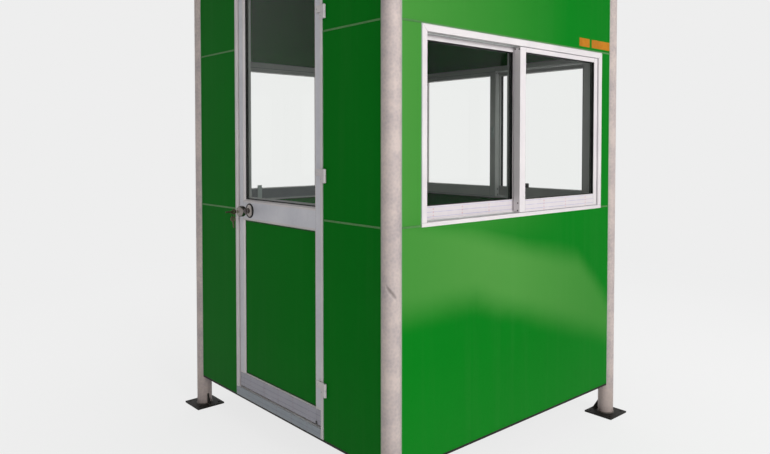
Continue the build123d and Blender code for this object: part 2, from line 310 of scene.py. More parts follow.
def paintedReflectionShare(add, coords, axes):
    # how much painted reflection lies at each point: a pale band soft below, firmer above and thinner to both ends,
    # and a paler painted reflection high up at the near end of the wall
    fit = paintedReflectionFit
    warp = add("TexNoise", {"Vector": coords, "Scale": 2.6, "Detail": 3.0})
    height = add("Math", {0: warp, 1: fit["waver"], 2: axes["Z"]}, "MULTIPLY_ADD")
    past = add("Math", {0: axes["Y"], 1: fit["lowFrom"]}, "SUBTRACT")
    ahead = add("Math", {0: past, 1: 0.0}, "MAXIMUM")
    lowEdge = add("Math", {0: ahead, 1: fit["lowSlope"], 2: fit["lowFlat"] + fit["waver"] / 2}, "MULTIPLY_ADD")
    above = add("Math", {0: height, 1: lowEdge}, "SUBTRACT")
    rising = add("MapRange", {"Value": above, "From Min": -0.06, "From Max": 0.11}, interpolation_type="SMOOTHSTEP")
    upperEdges = [add("Math", {0: axes["Y"], 1: fit[edge + "Slope"], 2: fit[edge + "Start"] + fit["waver"] / 2},
                      "MULTIPLY_ADD") for edge in ("high", "far")]
    topEdge = add("Math", dict(enumerate(upperEdges)), "MINIMUM")
    below = add("Math", {0: height, 1: topEdge}, "SUBTRACT")
    falling = add("MapRange", {"Value": below, "From Min": -0.12, "From Max": 0.03,
                               "To Min": fit["most"], "To Max": 0.0},
                  interpolation_type="SMOOTHSTEP")
    band = add("Math", {0: rising, 1: falling}, "MULTIPLY")
    offMiddle = add("Math", {0: axes["Y"], 1: -fit["middle"]}, "ADD")
    aside = add("Math", {0: offMiddle}, "ABSOLUTE")
    thinning = add("MapRange", {"Value": aside, "From Min": 0.1, "From Max": 0.75,
                                "To Min": 1.0, "To Max": fit["thinnest"]})
    thinned = add("Math", {0: band, 1: thinning}, "MULTIPLY")
    upper = add("MapRange", {"Value": axes["Z"], "From Min": 0.85, "From Max": 1.15}, interpolation_type="SMOOTHSTEP")
    nearEnd = add("MapRange", {"Value": axes["Y"], "From Min": -0.75, "From Max": 0.35,
                               "To Min": fit["upperShare"], "To Max": 0.0})
    upperReflection = add("Math", {0: upper, 1: nearEnd}, "MULTIPLY")
    either = add("Math", {0: thinned, 1: upperReflection}, "MAXIMUM")
    outside = add("Math", {0: axes["X"], 1: fit["wall"]}, "GREATER_THAN")
    return add("Math", {0: either, 1: outside}, "MULTIPLY")


def coatedSheet(name, colour, dusty, roughness, specular, withReflectionBand=False):
    # coil-coated aluminium composite sheet: an even smooth colour, slow waves in the thin skin, rain-washed dust, and
    # where asked a pale band of painted reflection
    material, add, shader, coords = startMaterial(name, {"Specular IOR Level": specular})
    tone = add("TexNoise", {"Vector": coords, "Scale": 1.6, "Detail": 3.0})  # 600 mm clouds of tone
    # streaks 45 mm apart and over 1 m long
    washed = add("Mapping", {"Scale": (22.0, 22.0, 0.8), "Vector": coords})
    streaks = add("TexNoise", {"Vector": washed, "Scale": 1.0, "Detail": 5.0, "Roughness": 0.6})
    streakShare = add("MapRange", {"Value": streaks, "From Min": 0.5, "From Max": 0.85, "To Max": 0.1})
    axes = add("SeparateXYZ", {0: coords}).outputs
    lowDust = add("MapRange", {"Value": axes["Z"], "From Min": 0.16, "From Max": 0.55, "To Min": 0.14, "To Max": 0.0})
    # 14 mm dust flecks
    speckle = add("TexNoise", {"Vector": coords, "Scale": 70.0, "Detail": 6.0, "Roughness": 0.7})
    brokenDust = add("Math", {0: lowDust, 1: speckle}, "MULTIPLY")
    dirt = add("Math", {0: streakShare, 1: brokenDust}, "ADD")
    clean = add("Mix", {0: tone, 6: toLinear(colour, 0.9), 7: toLinear(colour, 1.12)}, data_type="RGBA")
    shown = add("Mix", {0: dirt, 6: clean, 7: toLinear(dusty)}, data_type="RGBA")
    if withReflectionBand:
        # painted reflection: a pale band standing for bright ground mirrored in the sheet, mixed into its colour
        reflectionShare = paintedReflectionShare(add, coords, axes)
        shown = add("Mix", {0: reflectionShare, 6: shown, 7: toLinear(paintedReflectionFit["colour"])}, data_type="RGBA")
    rough = add("MapRange", {"Value": speckle, "From Min": 0.3, "From Max": 0.7,
                             "To Min": roughness - 0.04, "To Max": roughness + 0.06})
    # 400 mm waves in the skin, and the roller's texture drawn 4 mm wide so that it shows
    waves = add("TexNoise", {"Vector": coords, "Scale": 2.4, "Detail": 1.0})
    waveBump = add("Bump", {"Strength": 0.35, "Distance": 0.004, "Height": waves})
    peel = add("TexNoise", {"Vector": coords, "Scale": 240.0, "Detail": 2.0})
    peelBump = add("Bump", {"Strength": 0.05, "Distance": 0.0005, "Height": peel, "Normal": waveBump})
    setInputs(shader, {"Base Color": shown, "Roughness": rough, "Normal": peelBump})
    return material


dentFit = {  # a crease knocked into the tube between door and wide window, slanting across its outer side, its groove painted darker as shade
    "post": Vector((0.75, -0.75, 0.0)), "facing": -43.0, "height": 0.8445, "slope": 1.07,
    "width": 0.016, "reach": (0.012, 0.022), "ahead": (0.012, 0.024), "deep": 0.0045,
    # colour and share of the painted shade in the crease
    "creaseShade": "5E5450", "creaseShadeShare": 0.4,
}


def dentShare(add, coords):
    fit = dentFit
    outward = turned(fit["facing"], "Z") @ Vector((1.0, 0.0, 0.0))
    across = Vector((-outward.y, outward.x, 0.0))
    slanted = across * fit["slope"] + Vector((0.0, 0.0, 1.0))
    fromPost = add("VectorMath", {0: coords, 1: fit["post"]}, "SUBTRACT")
    offLine = add("VectorMath", {0: fromPost, 1: slanted}, "DOT_PRODUCT")
    fromLine = add("Math", {0: offLine, 1: fit["height"]}, "SUBTRACT")
    apart = add("Math", {0: fromLine}, "ABSOLUTE")
    near = add("MapRange", {"Value": apart, "From Max": fit["width"], "To Min": 1.0, "To Max": 0.0},
               interpolation_type="SMOOTHSTEP")
    sideways = add("VectorMath", {0: fromPost, 1: across}, "DOT_PRODUCT")
    offMiddle = add("Math", {0: sideways}, "ABSOLUTE")
    within = add("MapRange", {"Value": offMiddle, "From Min": fit["reach"][0], "From Max": fit["reach"][1],
                              "To Min": 1.0, "To Max": 0.0})
    ahead = add("VectorMath", {0: fromPost, 1: outward}, "DOT_PRODUCT")
    facing = add("MapRange", {"Value": ahead, "From Min": fit["ahead"][0], "From Max": fit["ahead"][1]})
    both = add("Math", {0: near, 1: within}, "MULTIPLY")
    return add("Math", {0: both, 1: facing}, "MULTIPLY")


def drawnMetal(name, dull, bright, roughness, lines, metallic, stain=None, flowers=0.25):
    # metal pulled through a die: fine lines along its length, mottled where the zinc or oxide is uneven
    material, add, shader, coords = startMaterial(name, {"Metallic": metallic})
    stretched = add("Mapping", {"Scale": lines, "Vector": coords})
    drawLines = add("TexNoise", {"Vector": stretched, "Scale": 1.0, "Detail": 5.0, "Roughness": 0.7})
    # zinc flowers about 12 mm across
    mottle = add("TexVoronoi", {"Scale": 85.0, "Randomness": 1.0, "Vector": coords})
    cloud = add("TexNoise", {"Vector": coords, "Scale": 9.0, "Detail": 4.0})
    mixed = add("Math", {0: mottle, 1: flowers, 2: cloud}, "MULTIPLY_ADD")
    evened = add("MapRange", {"Value": mixed, "From Min": 0.3, "From Max": 0.8})
    colour = add("Mix", {0: evened, 6: toLinear(dull), 7: toLinear(bright)}, data_type="RGBA")
    if stain:
        height = add("SeparateXYZ", {0: coords}).outputs["Z"]
        nearFoot = add("MapRange", {"Value": height, "From Min": 0.02, "From Max": 0.32, "To Min": 0.75, "To Max": 0.0})
        blotch = add("Math", {0: nearFoot, 1: cloud}, "MULTIPLY")
        stained = add("Mix", {0: blotch, 6: colour, 7: toLinear(stain)}, data_type="RGBA")
        # painted shade: the crease is darkened where its groove falls into shade
        dent = dentShare(add, coords)
        creaseShade = add("Math", {0: dent, 1: dentFit["creaseShadeShare"]}, "MULTIPLY")
        colour = add("Mix", {0: creaseShade, 6: stained, 7: toLinear(dentFit["creaseShade"])}, data_type="RGBA")
    rough = add("MapRange", {"Value": drawLines, "From Min": 0.25, "From Max": 0.75,
                             "To Min": roughness - 0.07, "To Max": roughness + 0.1})
    bump = add("Bump", {"Strength": 0.12, "Distance": 0.0006, "Height": drawLines})
    if stain:
        crease = add("Bump", {"Strength": 1.0, "Distance": dentFit["deep"], "Height": dent}, invert=True)
        setInputs(bump, {"Normal": crease})
    setInputs(shader, {"Base Color": colour, "Roughness": rough, "Normal": bump})
    return material


def mouldedMaterial(name, light, dark, roughness, grain, bumpDepth, specular=0.5):
    # rubber, plastic, sealant or paint: nearly one colour, a fine skin texture, slightly uneven gloss
    material, add, shader, coords = startMaterial(name, {"Specular IOR Level": specular})
    clouds = add("TexNoise", {"Vector": coords, "Scale": 6.0, "Detail": 4.0})
    skin = add("TexNoise", {"Vector": coords, "Scale": grain, "Detail": 3.0, "Roughness": 0.6})
    both = add("Math", {0: skin, 1: 0.35, 2: clouds}, "MULTIPLY_ADD")
    share = add("MapRange", {"Value": both, "From Min": 0.45, "From Max": 0.9})
    colour = add("Mix", {0: share, 6: toLinear(light), 7: toLinear(dark)}, data_type="RGBA")
    rough = add("MapRange", {"Value": skin, "From Min": 0.3, "From Max": 0.7,
                             "To Min": roughness - 0.05, "To Max": roughness + 0.08})
    bump = add("Bump", {"Strength": 0.2, "Distance": bumpDepth, "Height": skin})
    setInputs(shader, {"Base Color": colour, "Roughness": rough, "Normal": bump})
    return material


def floatGlass(name, tint, passing):
    # clear float glass with a thin film of dust; lamps reach through it
    # the IOR is set low so that the panes mirror little of the pale room and the inside reads dark
    body = {"Base Color": toLinear(tint), "IOR": 1.15, "Transmission Weight": 1.0}
    material, add, shader, coords = startMaterial(name, body)
    dust = add("TexNoise", {"Vector": coords, "Scale": 14.0, "Detail": 5.0, "Roughness": 0.65})
    rough = add("MapRange", {"Value": dust, "From Min": 0.45, "From Max": 0.8, "To Max": 0.045})
    setInputs(shader, {"Roughness": rough})
    path = add("LightPath").outputs
    clear = add("BsdfTransparent", {"Color": toLinear(passing)})
    unseen = add("Math", {0: path["Is Shadow Ray"], 1: path["Is Diffuse Ray"]}, "MAXIMUM")
    lampsPass = add("MixShader", {0: unseen, 1: shader, 2: clear})
    setInputs(next(n for n in material.node_tree.nodes if n.type == "OUTPUT_MATERIAL"), {"Surface": lampsPass})
    return material


printFit = {"lineShare": 0.11, "markShare": 0.035, "rowStep": 0.013, "rowShare": 0.45}  # marks 6 mm high, 13 mm apart


def printedFilm(name, ground, lineColour, markColour, lineStep, markStep, alongAxis):
    # thin protective polythene left on the profile: milky, with plain pinstripes and small square register marks
    material, add, shader, coords = startMaterial(name, {"Specular IOR Level": 0.5})
    axes = add("SeparateXYZ", {0: coords}).outputs
    stripes = []
    for axis, step, share in (("Z", lineStep, "lineShare"), (alongAxis, markStep, "markShare"),
                              ("Z", printFit["rowStep"], "rowShare")):
        count = add("Math", {0: axes[axis], 1: step}, "DIVIDE")
        within = add("Math", {0: count}, "FRACT")
        stripes.append(add("Math", {0: within, 1: printFit[share]}, "LESS_THAN"))
    line, column, row = stripes
    mark = add("Math", {0: column, 1: row}, "MULTIPLY")
    wear = add("TexNoise", {"Vector": coords, "Scale": 28.0, "Detail": 4.0})  # print rubbed off in 35 mm patches
    wornMark = add("Math", {0: mark, 1: wear}, "MULTIPLY")
    wornLine = add("Math", {0: line, 1: wear}, "MULTIPLY")
    grounds = add("Mix", {0: wear, 6: toLinear(ground), 7: toLinear(ground, 0.86)}, data_type="RGBA")
    lined = add("Mix", {0: wornLine, 6: grounds, 7: toLinear(lineColour)}, data_type="RGBA")
    marked = add("Mix", {0: wornMark, 6: lined, 7: toLinear(markColour)}, data_type="RGBA")
    wrinkle = add("Mapping", {"Scale": (30.0, 30.0, 120.0), "Vector": coords})
    wrinkles = add("TexNoise", {"Vector": wrinkle, "Scale": 1.0, "Detail": 3.0})
    rough = add("MapRange", {"Value": wrinkles, "To Min": 0.22, "To Max": 0.5})
    bump = add("Bump", {"Strength": 0.3, "Distance": 0.0008, "Height": wrinkles})
    setInputs(shader, {"Base Color": marked, "Roughness": rough, "Normal": bump})
    return material


finishes = {
    # the last argument paints the pale band of painted reflection on the wide window's wall
    "wall_panel": coatedSheet("coil_coated_aluminium_sheet", "08761A", "4C7F49", 0.3, 0.015, True),
    "roof_fascia": coatedSheet("coil_coated_fascia_sheet", "08721A", "5C8A56", 0.33, 0.03),
    "roof_panel": coatedSheet("coil_coated_roof_steel", "D6D8D4", "A9A89C", 0.4, 0.4),
    # dull strips that take on the green beside them
    "joint_strip": drawnMetal("extruded_mill_aluminium", "376F33", "518748", 0.55, (6.0, 6.0, 420.0), 0.15),
    # pale clouded zinc, with brown stains towards the foot and painted shade in the crease of the dent
    "post_tube": drawnMetal("drawn_galvanised_steel_tube", "A1979A", "CDBEB8", 0.45, (260.0, 260.0, 3.0), 0.22,
                            "7A6B62"),
    # brush-primed scale, dull and dark
    "base_steel": mouldedMaterial("primed_hot_rolled_plate", "24221E", "171613", 0.62, 160.0, 0.0012, 0.25),
    # flecked grey sheet
    "floor_board": mouldedMaterial("calendered_vinyl_on_board", "7C7E7C", "63665F", 0.5, 340.0, 0.0004, 0.4),
    # satin white with a die sheen
    "white_profile": mouldedMaterial("extruded_white_upvc", "E2DCDD", "D3CDD0", 0.32, 300.0, 0.0003),
    "window_glass": floatGlass("float_glass_pane", "FEFFFE", "C8CFCB"),
    # fine turned rings and a sharp shine
    "knob_steel": drawnMetal("turned_stainless_steel", "77716E", "A39D99", 0.13, (40.0, 500.0, 40.0), 1.0,
                             flowers=0.03),
}
whiteUpvc, knobSteel = finishes["white_profile"], finishes["knob_steel"]
# matte rubber, slightly greyed by dust
rubber = mouldedMaterial("extruded_black_rubber_seal", "1B1C1C", "101111", 0.62, 260.0, 0.0003, 0.35)
# fuzzy grey brush strip
pile = mouldedMaterial("woven_pile_seal", "8B8890", "696770", 0.9, 900.0, 0.0008, 0.1)
# silicone tooled by finger, a little wavy
sealant = mouldedMaterial("cured_silicone_bead", "93A796", "7D9281", 0.4, 120.0, 0.0006)
# bright plating, evenly grained
plainZinc = drawnMetal("zinc_plated_screw_steel", "8B8E90", "C3C6C8", 0.35, (300.0, 300.0, 300.0), 0.9)
# pale satin with fine lines along the profile
trimAluminium = drawnMetal("anodised_aluminium_trim", "B5B9B8", "D9DCDA", 0.36, (380.0, 380.0, 5.0), 0.85)
# dull scale over the weld's ripples
weldSteel = mouldedMaterial("welded_steel_bead", "5A534C", "322D29", 0.5, 190.0, 0.0012, 0.6)
# smooth mouldings with a low gloss
whiteNylon = mouldedMaterial("moulded_white_nylon", "DDE0E0", "CDD1D3", 0.4, 420.0, 0.0002)
darkNylon = mouldedMaterial("moulded_black_nylon", "222324", "161717", 0.45, 420.0, 0.0002)
# self-adhesive film, faded and a little lifted
orangeVinyl = mouldedMaterial("cast_orange_vinyl_film", "C07C06", "9E5E04", 0.45, 45.0, 0.0006, 0.2)
# nickel worn through to dull yellow
keyBrass = drawnMetal("stamped_nickel_brass", "4E4B39", "77725C", 0.3, (250.0, 250.0, 250.0), 1.0, flowers=0.05)
# protective film: printed on sashes and door, plain on the other profiles, and never cleaned inside
sashFilm = printedFilm("printed_polythene_on_sash", "DCD5D8", "8D89C2", "C46A72", 0.019, 0.17, "Y")
# the door rail's and sill's film is a real bluish print, its ground darkened further as painted shade near the ground
doorFilmWithShade = printedFilm("printed_polythene_on_door_with_painted_shade", "ACAAB6", "5F6680", "7E4B60", 0.023, 0.12, "X")
sillFilmWithShade = printedFilm("printed_polythene_on_sill_with_painted_shade", "979FA8", "5F6680", "7E4B60", 0.023, 0.12, "X")
plainFilm = mouldedMaterial("plain_polythene_on_profile", "E2E1E8", "D2D2DB", 0.34, 60.0, 0.0007)
greyFilm = mouldedMaterial("dusty_polythene_on_rail", "8F8E93", "7C7B82", 0.4, 60.0, 0.0007)

softened = {  # how far each slot's edges are rounded, in metres; the others stay as they are
    "wall_panel": 0.0008, "roof_fascia": 0.001, "roof_panel": 0.002, "joint_strip": 0.0005, "base_steel": 0.0012,
    "white_profile": 0.0011, "floor_board": 0.0005,
}
for part in frame["record"]["subparts"]:
    node = frame["nodes"][part["node"]]
    slotName = part["material_slot"]
    node.data.materials.clear()
    node.data.materials.append(finishes[slotName])
    if slotName in softened:
        weld = node.modifiers.new("weld", "WELD")
        weld.merge_threshold = 0.00001
        if slotName == "base_steel":  # whole flats between the bolt holes, so the bevels can't fold over
            flats = node.modifiers.new("flats", "DECIMATE")
            flats.decimate_type = "DISSOLVE"
            flats.angle_limit = math.radians(1)
        rounding = node.modifiers.new("edges", "BEVEL")
        rounding.width = softened[slotName]
        rounding.segments = 2
        rounding.limit_method = "ANGLE"
        rounding.angle_limit = math.radians(35)
        rounding.use_clamp_overlap = True
print("materials on", len(frame["nodes"]), "nodes")


# sliding windows: seals, beads, seams, tracks, screws and catches

windowFit = {
    "side": 0.027, "head": 0.027, "sill": 0.007, "proud": 0.004,
    "sashThickness": 0.034, "outerFace": -0.004, "innerFace": -0.044,
    "stile": 0.030, "meeting": 0.020,     # half of the meeting stile
    "topRail": 0.022, "bottomRail": 0.057, "glass": 0.005, "gap": 0.0003,
    "seam": 0.0007, "seal": 0.0018, "gasket": 0.0021, "coverTall": 0.009,
    "lowTrack": 0.005, "highTrack": 0.006, "trackHalf": 0.0015,
    "lowScrews": ((0.016, 0.0105), (0.049, 0.0105)),    # up the stile, in from its outer face
    "highScrews": ((0.011, 0.0065), (0.012, 0.0285)),   # the same, from the top of the pane
}
sunkScrew = inMillimetres(0, 0.6, 1.8, 0.6, 2.4, 0.2, 3.2, 0.8, 3.6, 0.2, 3.6, -1, 0, -1)


def dressWindow(wall, outerSide):
    fit = windowFit
    low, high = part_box(wall + "_window_frame")
    middle = onWall(wall).inverted() @ ((low + high) / 2)
    half = max(high.x - low.x, high.y - low.y) / 2
    tall = high.z - low.z
    place = onWall(wall) @ moved(middle.x, low.z) @ Matrix.Diagonal((outerSide, 1, 1, 1))
    clear = half - fit["side"]
    sill, meeting = fit["sill"], fit["meeting"]
    railTop = sill + fit["gap"] + fit["bottomRail"]
    headUnder = tall - fit["head"]
    paneTop = headUnder - fit["gap"] - fit["topRail"]
    paneEnd = clear - fit["gap"] - fit["stile"]
    glassSkin, sashSkin = fit["glass"] / 2, fit["sashThickness"] / 2
    sealFoot, sealTop = -glassSkin - 0.0036, sashSkin - 0.001
    pileFoot, pileTop, pileEnd = sill + fit["seal"] / 2, headUnder - fit["seal"] / 2, clear - fit["seal"] / 2
    seals, beads, seams, piles, tracks, screws, bead, lip, catch = (bmesh.new() for _ in range(9))
    for face, side in ((fit["outerFace"], 1), (fit["innerFace"], -1)):
        deep = face - sashSkin
        centre = place @ moved(side * (meeting + paneEnd) / 2, (railTop + paneTop) / 2, deep)
        pane = (paneEnd - meeting, paneTop - railTop)
        addRing(seals, centre, *pane, [(0.0, glassSkin), (-fit["gasket"], glassSkin),
                                       (-fit["gasket"] * 0.8, sashSkin - 0.0015), (0.0, sealTop)])
        addRing(seals, centre, *pane, [(0.0, -glassSkin), (-0.003, -glassSkin),
                                       (-0.0024, -glassSkin - 0.0028), (0.0, sealFoot)])
        addRing(beads, centre, *pane, [(0.0, sealFoot), (-0.0024, sealFoot), (-0.0022, -glassSkin - 0.006),
                                       (-0.0004, 0.0006 - sashSkin), (0.0, 0.0004 - sashSkin)])
        runs = [((-side * meeting, line), (side * clear, line)) for line in (pileFoot, pileTop)]
        runs.append(((side * pileEnd, sill), (side * pileEnd, headUnder)))
        for way, skin in ((1, face), (-1, face - fit["sashThickness"])):
            for start, end in runs:
                addStrip(piles, place, start, end, fit["seal"], skin, skin + way * fit["seal"] * 0.6)
            for seamX in (side * meeting, side * paneEnd):
                for foot, top in ((sill + 0.002, railTop), (paneTop, headUnder - 0.002)):
                    addStrip(seams, place, (seamX, foot), (seamX, top), fit["seam"], skin, skin + way * seamProud)
        for foot, top in ((sill, sill + fit["lowTrack"]), (headUnder - fit["highTrack"], headUnder)):
            addBar(tracks, place, (-side * clear, foot, deep - fit["trackHalf"]),
                   (-side * meeting, top, deep + fit["trackHalf"]), 0.0006)
        stileSide = place @ moved(-side * meeting, 0.0, face) @ turned(-90 * side, "Y")
        for up, inward in (*fit["lowScrews"], *((paneTop + up, inward) for up, inward in fit["highScrews"])):
            addLathe(screws, stileSide @ moved(-side * inward, up), sunkScrew, 14)

    for side in bothSides:  # mitres of the frame's head and joints of its sill
        for outer, inner in ((tall, headUnder), (sill, sill)):
            addStrip(seams, place, (side * half, outer), (side * clear, inner), fit["seam"],
                     fit["proud"], fit["proud"] + seamProud)

    # silicone round the frame, outside and in
    for out, shape in ((0.0, (0, 0, 3, 0, 2.4, 1.2, 1, 2.4, 0, 3)),
                       (wallInner - wallOuter, (0, 0, 4, 0, 3, -1.8, 1.2, -3.2, 0, -4))):
        addRing(bead, place @ moved(0.0, tall / 2, out), 2 * half, tall, inMillimetres(*shape))
    # cover lip over the joint strip under the frame
    addBar(lip, place, (-half, -fit["coverTall"], 0.0), (half, 0.0004, fit["proud"]), 0.0004)

    # crescent catch inside the meeting stile
    inside = place @ moved(0.0, tall / 2, fit["innerFace"] - fit["sashThickness"]) @ turned(180, "Y")
    addBar(catch, inside, (-0.010, -0.034, 0.0), (0.010, 0.034, 0.004), 0.0012)
    addLathe(catch, inside @ moved(z=0.004), inMillimetres(0, 0, 9.5, 0, 9.5, 4, 7, 5.5, 0, 6), 24)
    addBar(catch, inside @ turned(28, "Z"), (-0.004, 0.0, 0.005), (0.004, 0.034, 0.0095), 0.0014)
    for end in bothSides:
        addScrew(catch, inside @ moved(y=end * 0.026, z=0.0045), 0.0032)

    for ending, made, material in (("glazing_seals", seals, rubber), ("glazing_beads", beads, whiteUpvc),
                                   ("window_seams", seams, pile), ("pile_seals", piles, pile),
                                   ("window_tracks", tracks, trimAluminium), ("stile_screws", screws, darkNylon),
                                   ("window_sealant", bead, sealant), ("window_cover", lip, whiteUpvc),
                                   ("window_catch", catch, whiteNylon)):
        finishPiece(wall + "_" + ending, made, material)
    return place, railTop, clear


windowPlaces = {wall: dressWindow(wall, side) for wall, side in (("right", 1), ("left", -1), ("back", -1))}

# a white pull plate and dusty film on the left window's sashes, and a dark stop on the back window's outer rail
pullFit = {"along": -0.436, "half": 0.0135, "low": 1.076, "high": 1.165, "thick": 0.004}
pull = bmesh.new()
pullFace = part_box("left_window_sashes")[1].x + 0.0002
addBar(pull, moved(), (pullFace, pullFit["along"] - pullFit["half"], pullFit["low"]),
       (pullFace + pullFit["thick"], pullFit["along"] + pullFit["half"], pullFit["high"]), 0.0014)
finishPiece("left_window_pull", pull, whiteNylon)
railFilmFit = {"runs": ((-0.587, -0.009, 0.0), (-0.005, 0.613, -0.040)), "thick": 0.0005, "low": 0.003, "high": 0.002}
railFilm = bmesh.new()
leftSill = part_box("left_window_frame")[0].z + windowFit["sill"]
low, high = leftSill + railFilmFit["low"], leftSill + windowFit["bottomRail"] - railFilmFit["high"]
for start, end, off in railFilmFit["runs"]:
    addBar(railFilm, moved(), (pullFace + off, start, low), (pullFace + off + railFilmFit["thick"], end, high))
finishPiece("left_rail_film", railFilm, greyFilm)
stopFit = {"along": 0.247, "half": 0.012, "tall": 0.025, "deep": (0.7360, 0.7460), "rooted": 0.001}
stop = bmesh.new()
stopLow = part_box("back_window_frame")[0].z + windowFit["sill"] + windowFit["gap"] + windowFit["bottomRail"]
addBar(stop, moved(), (stopFit["along"] - stopFit["half"], stopFit["deep"][0], stopLow - stopFit["rooted"]),
       (stopFit["along"] + stopFit["half"], stopFit["deep"][1], stopLow + stopFit["tall"]), 0.0012)
finishPiece("back_window_stop", stop, darkNylon)

# printed film left on the lower rails of the wide window beside the door wall
sashFilmFit = {"low": 0.004, "high": 0.003, "start": 0.001, "end": 0.031}
place, railTop, clear = windowPlaces["right"]
for number, (side, face) in enumerate(((1, windowFit["outerFace"]), (-1, windowFit["innerFace"])), 1):
    film = bmesh.new()
    start, end = side * (windowFit["meeting"] + sashFilmFit["start"]), side * (clear - sashFilmFit["end"])
    addBar(film, place, (start, windowFit["sill"] + sashFilmFit["low"], face),
           (end, railTop - sashFilmFit["high"], face + filmThick))
    finishPiece("sash_film_" + str(number), film, sashFilm)
print("windows dressed")


# walls: sealant where the sheets meet the posts, and two orange patches

wallFit = {"postJoint": 0.7188, "bottom": 0.165, "top": 2.415, "beadRadius": 0.0022, "sunk": 0.0008}
jointBeads = bmesh.new()
for wall in wallTurns:
    for side in bothSides:
        foot = onWall(wall) @ moved(side * wallFit["postJoint"], wallFit["bottom"], -wallFit["sunk"])
        addRod(jointBeads, foot @ turned(-90, "X"), wallFit["beadRadius"], wallFit["top"] - wallFit["bottom"], 8)
finishPiece("post_joint_beads", jointBeads, sealant)

patchFit = {"runs": ((0.4450, 0.5335), (0.5520, 0.7165)), "low": 1.8630, "high": 1.9040, "thick": 0.0004, "off": 0.0001,
            "ragged": 0.0012, "grid": (26, 10)}
for number, (start, end) in enumerate(patchFit["runs"], 1):
    patch = bmesh.new()
    wide, tall = end - start, patchFit["high"] - patchFit["low"]
    bmesh.ops.create_grid(patch, x_segments=patchFit["grid"][0], y_segments=patchFit["grid"][1], size=0.5)
    for v in patch.verts:
        if max(abs(v.co.x), abs(v.co.y)) > 0.499:  # the points on its rim, cut a little unevenly
            v.co.x *= 1 + random.uniform(-1, 0) * patchFit["ragged"] / wide
            v.co.y *= 1 + random.uniform(-1, 0.3) * patchFit["ragged"] / tall
    middle = onWall("right") @ moved((start + end) / 2, (patchFit["low"] + patchFit["high"]) / 2, patchFit["off"])
    bmesh.ops.transform(patch, verts=patch.verts, matrix=middle @ Matrix.Diagonal((wide, tall, 1, 1)))
    lifted = bmesh.ops.extrude_face_region(patch, geom=patch.faces[:])["geom"]
    lifted = [v for v in lifted if isinstance(v, bmesh.types.BMVert)]
    bmesh.ops.translate(patch, vec=(patchFit["thick"], 0, 0), verts=lifted)
    finishPiece("orange_patch_" + str(number), patch, orangeVinyl)
print("walls dressed")


# door: seals, film, lock, hinges and threshold

doorFit = {
    "face": -0.006, "back": -0.042, "frameFace": 0.003, "glassMiddle": -0.024,
    "lightHalf": 0.287, "light": (1.1275, 2.120), "panel": (0.284, 1.0225), "panelFace": -0.014, "panelBack": -0.026,
    "leafHalf": 0.334, "leafLow": 0.212, "leafHigh": 2.192, "stileFlat": 0.035,
    "frameHalf": 0.357, "frameHigh": 2.215, "jambInner": 0.341, "foot": 0.166, "threshold": 0.205,
    "lockRail": (1.0375, 1.1125), "topRail": (2.135, 2.187),     # their flats, which keep the film
    "lowFilm": 0.066, "stileFilm": 0.076,   # up from the foot of the leaf
    "seamOut": 0.0115, "seamPast": 0.004,
}
front = onWall("front")
fit = doorFit
face, frameFace = fit["face"], fit["frameFace"]
doorSeals, innerBeads, plainRuns, lowFilm, drainPlug = (bmesh.new() for _ in range(5))
for bm, opening, out, shape in (
        (doorSeals, "light", fit["glassMiddle"], (0, 2.5, -2, 2.5, -1.6, 7.2, -0.6, 8.8, 0, 8.8)),
        (doorSeals, "light", fit["glassMiddle"], (0, -2.5, -3.5, -2.5, -2.8, -5.2, 0, -6.2)),
        (doorSeals, "panel", fit["panelFace"], (0, 0, -2.2, 0, -1.6, 1.2, 0, 1.2)),
        (doorSeals, "panel", fit["panelBack"], (0, 0, -4, 0, -3, -3, 0, -4)),
        (innerBeads, "light", fit["glassMiddle"], (0, -6.2, -2.8, -6.2, -11, -8.5, -9, -17.5, 0, -17.8)),
        (innerBeads, "panel", fit["panelBack"], (0, -4, -3, -4, -9, -8.5, -7.5, -15.5, 0, -15.8))):
    low, high = fit[opening]
    addRing(bm, front @ moved(0.0, (low + high) / 2, out), 2 * fit["lightHalf"], high - low, inMillimetres(*shape))
finishPiece("door_glazing_seals", doorSeals, rubber, "door")
finishPiece("door_inner_beads", innerBeads, whiteUpvc, "door")

railEnd = fit["leafHalf"] - fit["stileFlat"]
low, high = fit["leafLow"] + fit["stileFilm"], fit["leafHigh"] - 0.004
filmRuns = [(side * (fit["leafHalf"] - 0.0035), side * railEnd, low, high) for side in bothSides]
for start, end, low, high in (*filmRuns, (-railEnd, railEnd, *fit["lockRail"]), (-railEnd, railEnd, *fit["topRail"])):
    addBar(plainRuns, front, (start, low, face), (end, high, face + filmThick))
filmEnd = fit["leafHalf"] - 0.003
addBar(lowFilm, front, (-filmEnd, fit["leafLow"] + 0.0015, face),
       (filmEnd, fit["leafLow"] + fit["lowFilm"], face + filmThick))
plugFit = {"along": (0.293, 0.305), "up": (0.001, 0.014), "thick": 0.0012}
addBar(drainPlug, front, (plugFit["along"][0], fit["leafLow"] + plugFit["up"][0], face),
       (plugFit["along"][1], fit["leafLow"] + plugFit["up"][1], face + plugFit["thick"]), 0.0005)
finishPiece("door_plain_film", plainRuns, plainFilm, "door")
finishPiece("door_rail_film", lowFilm, doorFilmWithShade, "door")
finishPiece("door_drain_plug", drainPlug, darkNylon, "door")

